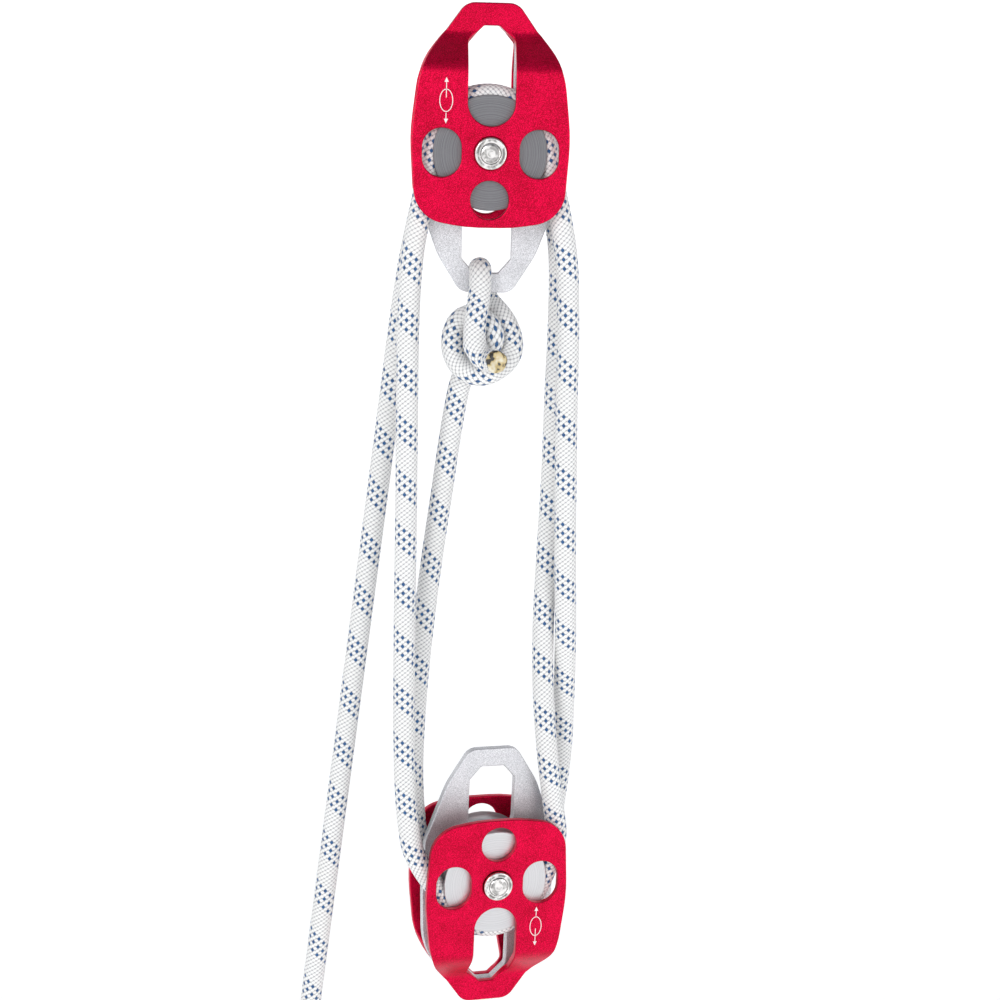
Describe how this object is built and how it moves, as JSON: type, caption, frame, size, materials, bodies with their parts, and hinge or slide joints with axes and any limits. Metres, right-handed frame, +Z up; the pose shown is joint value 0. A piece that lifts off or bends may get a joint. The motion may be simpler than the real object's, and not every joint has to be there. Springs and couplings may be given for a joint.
{
  "type": "double sheave block tackle",
  "caption": "Hoisting tackle of a hanging and a travelling double sheave block with swinging cheeks, eyes and beckets, rove with one braided rope.",
  "frame": {"origin": "the crown of the upper block's eye slot, where the tackle hangs, in the middle of the centre plate", "axes": "+Z up, towards the anchor; -Y the front of the upper block; +X to the right seen from the front; the lower block is turned 13 degrees about +Z and leans 2.3 degrees about its axle, and the upper block leans 1.3 degrees about its own"},
  "size_m": [0.1712, 0.0597, 0.6337],
  "materials": {
    "red_anodised": "satin crimson anodising with fine speckle",
    "blasted_aluminium": "bead blasted",
    "machined_aluminium": "turned, matt",
    "stainless": "polished stainless steel",
    "race_steel": "ground bearing steel",
    "cage_brass": "pressed brass with steel balls",
    "bronze": "turned bronze",
    "braid": "off-white braided polyester with blue tracer bands"
  },
  "bodies": {
    "upper_block": {"upper_centre_plate": "blasted_aluminium", "upper_axle": "stainless", "upper_front_washer": "stainless", "upper_front_bush": "bronze", "upper_front_spacer": "bronze", "upper_front_inner_race": "race_steel", "upper_rear_washer": "stainless", "upper_rear_bush": "bronze", "upper_rear_spacer": "bronze", "upper_rear_inner_race": "race_steel", "rope_becket_knot": "braid", "rope_standing_run": "braid", "rope_crossing_run": "braid", "rope_upper_front_wrap": "braid", "rope_front_run": "braid", "rope_rear_run": "braid", "rope_upper_rear_wrap": "braid", "rope_fall": "braid", "rope_stopper_knot": "braid"},
    "lower_block": {"lower_centre_plate": "blasted_aluminium", "lower_axle": "stainless", "lower_front_washer": "stainless", "lower_front_bush": "bronze", "lower_front_spacer": "bronze", "lower_front_inner_race": "race_steel", "lower_rear_washer": "stainless", "lower_rear_bush": "bronze", "lower_rear_spacer": "bronze", "lower_rear_inner_race": "race_steel", "rope_lower_rear_wrap": "braid", "rope_lower_front_wrap": "braid"},
    "upper_front_cheek": {"upper_front_cheek": "red_anodised"},
    "upper_front_sheave": {"upper_front_sheave": "machined_aluminium", "upper_front_outer_race": "race_steel"},
    "upper_front_ball_cage": {"upper_front_ball_cage": "cage_brass"},
    "upper_rear_cheek": {"upper_rear_cheek": "red_anodised"},
    "upper_rear_sheave": {"upper_rear_sheave": "machined_aluminium", "upper_rear_outer_race": "race_steel"},
    "upper_rear_ball_cage": {"upper_rear_ball_cage": "cage_brass"},
    "lower_front_cheek": {"lower_front_cheek": "red_anodised"},
    "lower_front_sheave": {"lower_front_sheave": "machined_aluminium", "lower_front_outer_race": "race_steel"},
    "lower_front_ball_cage": {"lower_front_ball_cage": "cage_brass"},
    "lower_rear_cheek": {"lower_rear_cheek": "red_anodised"},
    "lower_rear_sheave": {"lower_rear_sheave": "machined_aluminium", "lower_rear_outer_race": "race_steel"},
    "lower_rear_ball_cage": {"lower_rear_ball_cage": "cage_brass"}
  },
  "joints": [
    {"name": "hoist", "type": "slide", "parent": "upper_block", "child": "lower_block", "axis": [0, 0, 1], "range_m": [0, 0.15], "deforming": ["rope_standing_run", "rope_crossing_run", "rope_front_run", "rope_rear_run"]},
    {"name": "upper_front_cheek_swing", "type": "hinge", "parent": "upper_block", "child": "upper_front_cheek", "pos_m": [-0.00145, 0, -0.06388], "axis": [0, 1, 0], "range_deg": [-80, 80]},
    {"name": "upper_front_sheave_spin", "type": "hinge", "parent": "upper_block", "child": "upper_front_sheave", "pos_m": [-0.00145, 0, -0.06388], "axis": [0, 1, 0], "continuous": true},
    {"name": "upper_front_cage_spin", "type": "hinge", "parent": "upper_block", "child": "upper_front_ball_cage", "pos_m": [-0.00145, 0, -0.06388], "axis": [0, 1, 0], "continuous": true},
    {"name": "upper_rear_cheek_swing", "type": "hinge", "parent": "upper_block", "child": "upper_rear_cheek", "pos_m": [-0.00145, 0, -0.06388], "axis": [0, 1, 0], "range_deg": [-80, 80]},
    {"name": "upper_rear_sheave_spin", "type": "hinge", "parent": "upper_block", "child": "upper_rear_sheave", "pos_m": [-0.00145, 0, -0.06388], "axis": [0, 1, 0], "continuous": true},
    {"name": "upper_rear_cage_spin", "type": "hinge", "parent": "upper_block", "child": "upper_rear_ball_cage", "pos_m": [-0.00145, 0, -0.06388], "axis": [0, 1, 0], "continuous": true},
    {"name": "lower_front_cheek_swing", "type": "hinge", "parent": "lower_block", "child": "lower_front_cheek", "pos_m": [-0.00145, 0, -0.46558], "axis": [-0.225, 0.9744, 0], "range_deg": [-80, 80]},
    {"name": "lower_front_sheave_spin", "type": "hinge", "parent": "lower_block", "child": "lower_front_sheave", "pos_m": [-0.00145, 0, -0.46558], "axis": [-0.225, 0.9744, 0], "continuous": true},
    {"name": "lower_front_cage_spin", "type": "hinge", "parent": "lower_block", "child": "lower_front_ball_cage", "pos_m": [-0.00145, 0, -0.46558], "axis": [-0.225, 0.9744, 0], "continuous": true},
    {"name": "lower_rear_cheek_swing", "type": "hinge", "parent": "lower_block", "child": "lower_rear_cheek", "pos_m": [-0.00145, 0, -0.46558], "axis": [-0.225, 0.9744, 0], "range_deg": [-80, 80]},
    {"name": "lower_rear_sheave_spin", "type": "hinge", "parent": "lower_block", "child": "lower_rear_sheave", "pos_m": [-0.00145, 0, -0.46558], "axis": [-0.225, 0.9744, 0], "continuous": true},
    {"name": "lower_rear_cage_spin", "type": "hinge", "parent": "lower_block", "child": "lower_rear_ball_cage", "pos_m": [-0.00145, 0, -0.46558], "axis": [-0.225, 0.9744, 0], "continuous": true}
  ],
  "couplings": [
    {"joint": "upper_front_sheave_spin", "follows": "hoist", "rad_per_m": -69.93},
    {"joint": "upper_front_cage_spin", "follows": "hoist", "rad_per_m": -41.181},
    {"joint": "upper_rear_sheave_spin", "follows": "hoist", "rad_per_m": -139.86},
    {"joint": "upper_rear_cage_spin", "follows": "hoist", "rad_per_m": -82.362},
    {"joint": "lower_front_sheave_spin", "follows": "hoist", "rad_per_m": -104.89},
    {"joint": "lower_front_cage_spin", "follows": "hoist", "rad_per_m": -61.772},
    {"joint": "lower_rear_sheave_spin", "follows": "hoist", "rad_per_m": -34.965},
    {"joint": "lower_rear_cage_spin", "follows": "hoist", "rad_per_m": -20.591}
  ]
}
